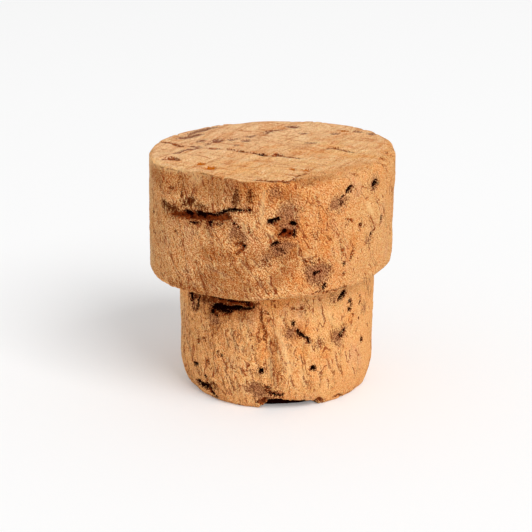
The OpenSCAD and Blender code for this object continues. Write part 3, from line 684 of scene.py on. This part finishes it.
class Sheet:
    """A material's node tree, with one short method for each kind of node used."""

    def __init__(self, material):
        material.use_nodes = True
        self.tree = material.node_tree
        self.tree.nodes.clear()

    def node(self, kind, **settings):
        made = self.tree.nodes.new(kind)
        for key, value in settings.items():
            setattr(made, key, value)
        return made

    def feed(self, socket, value):
        if isinstance(value, bpy.types.NodeSocket):
            self.tree.links.new(value, socket)
        else:
            socket.default_value = value

    def math(self, operation, a, b=0.0, c=0.0):
        made = self.node("ShaderNodeMath", operation=operation)
        for socket, value in zip(made.inputs, (a, b, c)):
            self.feed(socket, value)
        return made.outputs[0]

    def add(self, a, b):
        return self.math("ADD", a, b)

    def less(self, a, b):
        return self.math("SUBTRACT", a, b)

    def times(self, a, b):
        return self.math("MULTIPLY", a, b)

    def times_plus(self, a, b, c):
        return self.math("MULTIPLY_ADD", a, b, c)

    def vector_math(self, operation, vector, numbers):
        made = self.node("ShaderNodeVectorMath", operation=operation)
        self.feed(made.inputs[0], vector)
        self.feed(made.inputs[1], numbers)
        return made.outputs[0]

    def scaled(self, vector, *factors):
        return self.vector_math("MULTIPLY", vector, factors)

    def turned(self, vector, angle):
        """The vector turned about Z, by an angle in radians."""
        made = self.node("ShaderNodeVectorRotate", rotation_type="Z_AXIS")
        self.feed(made.inputs["Vector"], vector)
        self.feed(made.inputs["Angle"], angle)
        return made.outputs[0]

    def noise(self, vector, size, detail=2.0, distortion=0.0):
        """Noise about 0.5, with features about size millimetres across where vector is in millimetres."""
        made = self.node("ShaderNodeTexNoise")
        self.feed(made.inputs["Vector"], vector)
        for name, value in (("Scale", 1 / size), ("Detail", detail), ("Roughness", 0.55), ("Distortion", distortion)):
            made.inputs[name].default_value = value
        return made.outputs["Fac"]

    def fade(self, value, start, end):
        """0 where value is at start, 1 where it is at end."""
        made = self.node("ShaderNodeMapRange", interpolation_type="SMOOTHSTEP")
        self.feed(made.inputs["Value"], value)
        made.inputs["From Min"].default_value = start
        made.inputs["From Max"].default_value = end
        return made.outputs["Result"]

    def mix(self, share, first, second, blend="MIX"):
        made = self.node("ShaderNodeMix", data_type="RGBA", clamp_factor=True, blend_type=blend)
        for k, value in ((0, share), (6, first), (7, second)):
            self.feed(made.inputs[k], value)
        return made.outputs[2]

    def layered(self, ground, layers):
        """The ground with colours laid over it: where each one lies, how strongly, its colour and its blend."""
        for where, strength, tone, *blend in layers:
            tone = colour(*tone) if isinstance(tone, tuple) else tone
            ground = self.mix(self.times(where, strength), ground, tone, *blend)
        return ground

    def attribute(self, name):
        return self.node("ShaderNodeAttribute", attribute_name=name).outputs["Fac"]


HEAD_FADE = (14.9, 15.5)  # the heights between which the shank's looks turn into the head's, in millimetres
CHIP_SIZE = 0.30
CHIP_HIGHLIGHT_TURN = 0.012  # how far a chip's painted highlight lies from the chip, in radians about the axis
BUMP_H = 0.24
PALE = (255, 216, 154)


def cork_material():
    material = bpy.data.materials.new("cork")
    s = Sheet(material)
    at = s.scaled(s.node("ShaderNodeTexCoord").outputs["Object"], MM, MM, MM)
    grain_way = s.turned(at, math.pi / 2 - GRAIN)
    split = s.node("ShaderNodeSeparateXYZ")
    s.feed(split.inputs[0], at)
    height = split.outputs["Z"]
    head_too = s.fade(height, *HEAD_FADE)
    cut, lined, torn, warm = (s.attribute(name) for name in ("cut", "lined", "rough", "warm"))

    # fields shared by the colour and the bump
    def spun(lean, shift=0.0):
        """The place turned about the axis by lean radians for each millimetre up the head, and by less up the shank,
        and by shift radians besides."""
        climb = s.times(s.less(height, SHOULDER_Z), s.times_plus(head_too, 1 - LEAN_ON_SHANK, LEAN_ON_SHANK))
        return s.turned(at, s.times_plus(climb, lean, shift))

    leaning = spun(LEAN_OF_FOLDS)
    speck = s.noise(s.scaled(leaning, 1.0, 1.0, 0.75), 0.15, detail=1.0)
    fine = s.noise(at, 0.11, detail=0.0)
    coarse = s.noise(s.scaled(leaning, 1.0, 1.0, 0.6), 0.42, detail=1.0, distortion=0.3)
    blotch = s.noise(at, 1.8, detail=3.0)
    tint = s.noise(s.scaled(at, 1.0, 1.0, 0.6), 3.0, detail=3.0)
    broad = s.noise(at, 6.0)
    patchy = s.noise(at, 0.45)
    chips, chip_highlights = (
        s.noise(s.scaled(spun(LEAN_OF_CHIPS, shift), 1.0, 1.0, 0.6), CHIP_SIZE, detail=0.0, distortion=0.5)
        for shift in (0.0, CHIP_HIGHLIGHT_TURN))
    chipped = s.times_plus(torn, 0.07, s.times_plus(s.noise(at, 2.4, detail=1.0), 0.7, -0.41))
    chipped = s.times_plus(head_too, 0.05, s.less(chipped, 0.05))

    def cracks(size, tallness, width, start, end, seed):
        """Thin wandering lines, near upright, and the small cliffs at which the surface drops along them."""
        place = s.vector_math("ADD", s.scaled(leaning, 1.0, 1.0, tallness), (seed, 0.0, 0.0))
        field = s.noise(place, size, detail=3.0, distortion=0.7)
        here = s.times_plus(lined, 0.15, s.noise(place, size * 0.9, detail=1.0))
        here = s.times_plus(s.less(1.0, s.math("MAXIMUM", head_too, cut)), 0.028, here)
        here = s.fade(here, start, end)
        thin = s.fade(s.math("ABSOLUTE", s.less(field, 0.5)), width, width * 0.2)
        drop = s.less(s.fade(field, 0.5 - width, 0.5 + width), s.fade(field, 0.5, 0.5 + 7 * width))
        return s.times(thin, here), s.times(drop, here)

    long_lines, long_drops = cracks(1.6, 0.30, 0.018, 0.54, 0.60, 0.0)
    short_lines, short_drops = cracks(0.75, 0.45, 0.030, 0.68, 0.74, 31.0)
    hatch = s.noise(s.scaled(grain_way, 1.0, 0.14, 1.0), 0.50, detail=3.0, distortion=0.5)
    streaks = s.noise(s.scaled(grain_way, 0.13, 1.0, 1.0), 0.42, detail=3.0, distortion=0.4)
    streaked = s.times(s.fade(s.noise(s.scaled(grain_way, 0.4, 1.0, 1.0), 2.5), 0.44, 0.60), 0.75)
    wide_streaks = s.noise(s.scaled(grain_way, 0.14, 1.0, 1.0), 1.6)

    # the wall: torn open cells
    # on the rougher side the speckle is painted stronger, in part standing for the light and shade that grazing light
    # gives the grain
    specks = s.times_plus(head_too, 0.12, s.times_plus(torn, 0.10, 0.18))
    grit = s.times_plus(torn, s.times_plus(head_too, 0.18, 0.14), s.times_plus(head_too, 0.04, 0.46))
    wall = s.mix(torn, colour(241, 180, 114), colour(250, 182, 112))
    wall = s.mix(head_too, wall, s.mix(warm, colour(230, 171, 109), colour(231, 160, 96)))
    wall = s.layered(wall, [
        (s.fade(broad, 0.40, 0.64), 0.3, (232, 152, 88)), (s.fade(tint, 0.50, 0.72), 0.35, (226, 138, 66)),
        (s.fade(tint, 0.47, 0.28), 0.5, (222, 160, 122)), (s.fade(blotch, 0.54, 0.74), 0.12, (186, 108, 48)),
        (s.fade(coarse, 0.54, 0.75), 0.12, (190, 104, 40)), (s.fade(coarse, 0.46, 0.25), 0.15, (255, 212, 150)),
        # a painted sheen pales the left edge as seen from the front
        (1.0, 1.0, (254, 251, 247), "MULTIPLY"), (s.attribute("painted_left_sheen"), 0.7, (255, 220, 168)),
        (s.fade(speck, 0.51, 0.64), specks, (168, 78, 22)), (s.fade(speck, 0.48, 0.32), specks, PALE),
        (s.fade(fine, 0.52, 0.70), grit, (170, 78, 20)), (s.fade(fine, 0.48, 0.30), grit, (255, 218, 160)),
        # small torn chips painted as if lit from one side: the pale copy beside each is a painted highlight, the dark
        # chip painted shade
        (s.fade(s.add(chip_highlights, chipped), 0.68, 0.78), 0.5, PALE),
        (s.fade(s.add(chips, chipped), 0.69, 0.79), 0.75, (148, 62, 20)),
        # painted shade in the creases and on the folds' drops
        (s.attribute("painted_crease_shade"), 0.2, (150, 60, 18)),
        (long_lines, 0.8, (140, 48, 8)), (short_lines, 0.5, (140, 50, 10))])

    # the ends: cut smooth, with the growth rings as hatching and the pore channels as streaks across it
    face = s.mix(s.fade(wide_streaks, 0.38, 0.62), colour(252, 204, 150), colour(243, 190, 139))
    face = s.mix(warm, face, colour(254, 244, 222), "MULTIPLY")
    face = s.layered(face, [
        (s.fade(tint, 0.48, 0.68), 0.6, (226, 136, 62)),
        (s.fade(hatch, 0.52, 0.66), 0.55, (196, 112, 56)), (s.fade(hatch, 0.47, 0.34), 0.5, (254, 216, 166)),
        (s.fade(streaks, 0.53, 0.66), streaked, (188, 98, 38)),
        (s.fade(streaks, 0.46, 0.34), streaked, (252, 214, 164)),
        (s.fade(speck, 0.51, 0.67), 0.75, (182, 98, 46)), (s.fade(speck, 0.48, 0.32), 0.55, (255, 226, 182)),
        (short_lines, 0.6, (150, 66, 22))])

    # the marks, over both
    fray = s.less(s.times_plus(fine, 0.5, speck), 0.75)

    def mark(name, start, end, raggedness):
        return s.fade(s.times_plus(fray, raggedness, s.attribute(name)), start, end)

    stain = s.times(mark("stain", -0.60, 0.45, 1.8), s.fade(patchy, 0.15, 0.45))
    mauve = s.mix(s.fade(s.times_plus(speck, 0.9, fine), 0.90, 1.06), colour(184, 124, 84), colour(104, 54, 30))
    soot = s.times(mark("soot", -0.25, 0.25, 1.2), s.fade(patchy, 0.2, 0.5))
    rusty = s.mix(s.fade(s.times_plus(fine, 0.8, patchy), 0.80, 1.00), colour(84, 16, 0), colour(160, 72, 24))
    black = mark("black", -0.07, 0.03, 0.4)
    all_over = s.layered(s.mix(cut, wall, face), [
        (s.fade(patchy, 0.50, 0.66), 0.35, (255, 232, 236), "MULTIPLY"),
        (s.fade(patchy, 0.50, 0.34), 0.35, (243, 255, 240), "MULTIPLY"),
        # multiplied darker: painted shade on the knife's flat, under the top rim and beside the shank's ridge; darker
        # patches, streaks and scuffs elsewhere
        (mark("shade", -0.9, 0.5, 0.8), 0.72, (206, 182, 160), "MULTIPLY"),
        # multiplied warmer and darker: an orange tint, and painted warm shade along the shank under the head
        (mark("glow", -0.9, 0.6, 0.8), 0.5, (246, 206, 150), "MULTIPLY"),
        # paler: painted highlights on rims and on the shank's ridge, and paler streaks
        (mark("pale", -0.3, 0.25, 0.8), 0.5, (255, 214, 152)),
        (stain, 0.9, mauve), (soot, 0.95, (118, 76, 40), "MULTIPLY"),
        (mark("plum", -0.16, 0.14, 1.6), 0.85, (120, 60, 46)), (mark("amber", -0.14, 0.08, 0.8), 0.95, (186, 94, 2)),
        # beside each fold a painted highlight on the groove's lit wall, then the fold's dark line
        (mark("fold_highlight", -0.12, 0.02, 0.3), 0.35, PALE), (mark("fold", -0.08, 0.02, 0.5), 0.75, (132, 48, 12)),
        (mark("rust", -0.13, 0.02, 0.7), 0.92, rusty),
        (mark("black", -0.24, -0.06, 1.0), 0.85, (116, 36, 8)), (black, 1.0, (32, 3, 3))])

    # relief finer than the mesh
    relief = s.times(s.less(0.5, speck), s.times_plus(s.math("MAXIMUM", head_too, cut), 0.25, 0.45))
    for field, strength in (
            (s.less(0.5, coarse), s.times_plus(cut, -0.4, 0.5)), (s.less(0.5, fine), 0.3),
            (s.add(long_drops, short_drops), s.times_plus(cut, -0.3, 0.3)), (s.less(0.5, hatch), s.times(cut, 0.3)),
            (s.add(long_lines, short_lines), -0.2), (black, -0.8)):
        relief = s.times_plus(field, strength, relief)
    bump = s.node("ShaderNodeBump")
    bump.inputs["Strength"].default_value = 1.0
    bump.inputs["Distance"].default_value = BUMP_H / MM
    s.feed(bump.inputs["Height"], relief)

    shader = s.node("ShaderNodeBsdfPrincipled")
    s.feed(shader.inputs["Base Color"], all_over)
    shader.inputs["Roughness"].default_value = 1.0
    shader.inputs["Specular IOR Level"].default_value = 0.0
    s.feed(shader.inputs["Normal"], bump.outputs["Normal"])
    s.feed(s.node("ShaderNodeOutputMaterial").inputs["Surface"], shader.outputs[0])
    return material


mesh.materials.append(cork_material())

# ---------------------------------------------------------------- floor, light and camera
FLOOR_HALF = 1.5
PAPER_LIT = 0.92  # the floor's grey where it lights the stopper, and where it is seen, with a glow of its own
PAPER_SEEN = 0.765
PAPER_GLOW = 0.18
FILL = 0.58  # the sky's strength as a lamp, and where it is seen
SKY_SEEN = 0.96
MIDDLE = Vector((-0.0013, 0.0, 0.0144))
CAMERA_DISTANCE = 0.19336
CAMERA_ELEVATION = 18.84


def background_rays(s):
    """1 for the rays that show the background as it is: the camera's, and those off metal or through glass."""
    rays = s.node("ShaderNodeLightPath").outputs
    off_things = s.math("MAXIMUM", rays["Is Glossy Ray"], rays["Is Transmission Ray"])
    return s.math("MAXIMUM", rays["Is Camera Ray"], off_things)


def floor_material():
    material = bpy.data.materials.new("paper")
    s = Sheet(material)
    seen = background_rays(s)
    paper = s.node("ShaderNodeBsdfDiffuse")
    s.feed(paper.inputs["Color"], s.mix(seen, *((grey, grey, grey, 1) for grey in (PAPER_LIT, PAPER_SEEN))))
    glow = s.node("ShaderNodeEmission")
    s.feed(glow.inputs["Strength"], s.times(seen, PAPER_GLOW))
    both = s.node("ShaderNodeAddShader")
    s.feed(both.inputs[0], paper.outputs[0])
    s.feed(both.inputs[1], glow.outputs[0])
    s.feed(s.node("ShaderNodeOutputMaterial").inputs["Surface"], both.outputs[0])
    return material


floor_mesh = bpy.data.meshes.new("floor")
floor_mesh.from_pydata(
    [(x * FLOOR_HALF, y * FLOOR_HALF, 0) for x, y in ((-1, -1), (1, -1), (1, 1), (-1, 1))], [], [(0, 1, 2, 3)])
floor_mesh.materials.append(floor_material())
floor = bpy.data.objects.new("floor", floor_mesh)
bpy.context.collection.objects.link(floor)


def aim(thing, place, target):
    thing.location = place
    thing.rotation_euler = (Vector(target) - Vector(place)).to_track_quat("-Z", "Y").to_euler()


def round_at(distance, bearing_deg, elevation_deg):
    """A place at a distance from the middle of the stopper, seen from there at that bearing and elevation."""
    b, e = math.radians(bearing_deg), math.radians(elevation_deg)
    return MIDDLE + distance * Vector((math.sin(b) * math.cos(e), -math.cos(b) * math.cos(e), math.sin(e)))


def softbox(name, bearing_deg, elevation_deg, distance, size, level):
    """A square lamp that lights a white surface facing it to the given level."""
    data = bpy.data.lights.new(name, "AREA")
    data.shape = "SQUARE"
    data.size = size
    data.energy = level * math.pi**2 * distance**2
    lamp = bpy.data.objects.new(name, data)
    bpy.context.collection.objects.link(lamp)
    aim(lamp, round_at(distance, bearing_deg, elevation_deg), MIDDLE)


softbox("key", bearing_deg=37.5, elevation_deg=45.5, distance=3.0, size=1.8, level=0.74)

world = bpy.data.worlds.new("studio")
bpy.context.scene.world = world
w = Sheet(world)
sky = w.node("ShaderNodeBackground")
w.feed(sky.inputs["Strength"], w.times_plus(background_rays(w), SKY_SEEN - FILL, FILL))
sky.inputs["Color"].default_value = (1.0, 1.0, 1.0, 1)
w.feed(w.node("ShaderNodeOutputWorld").inputs["Surface"], sky.outputs[0])

camera_data = bpy.data.cameras.new("camera")
camera_data.lens = 105.5
camera_data.sensor_width = 36.0
camera_data.clip_start = 0.01
camera = bpy.data.objects.new("camera", camera_data)
bpy.context.collection.objects.link(camera)
aim(camera, round_at(CAMERA_DISTANCE, 0, CAMERA_ELEVATION), MIDDLE)
bpy.context.scene.camera = camera
bpy.context.scene.view_settings.view_transform = "Standard"
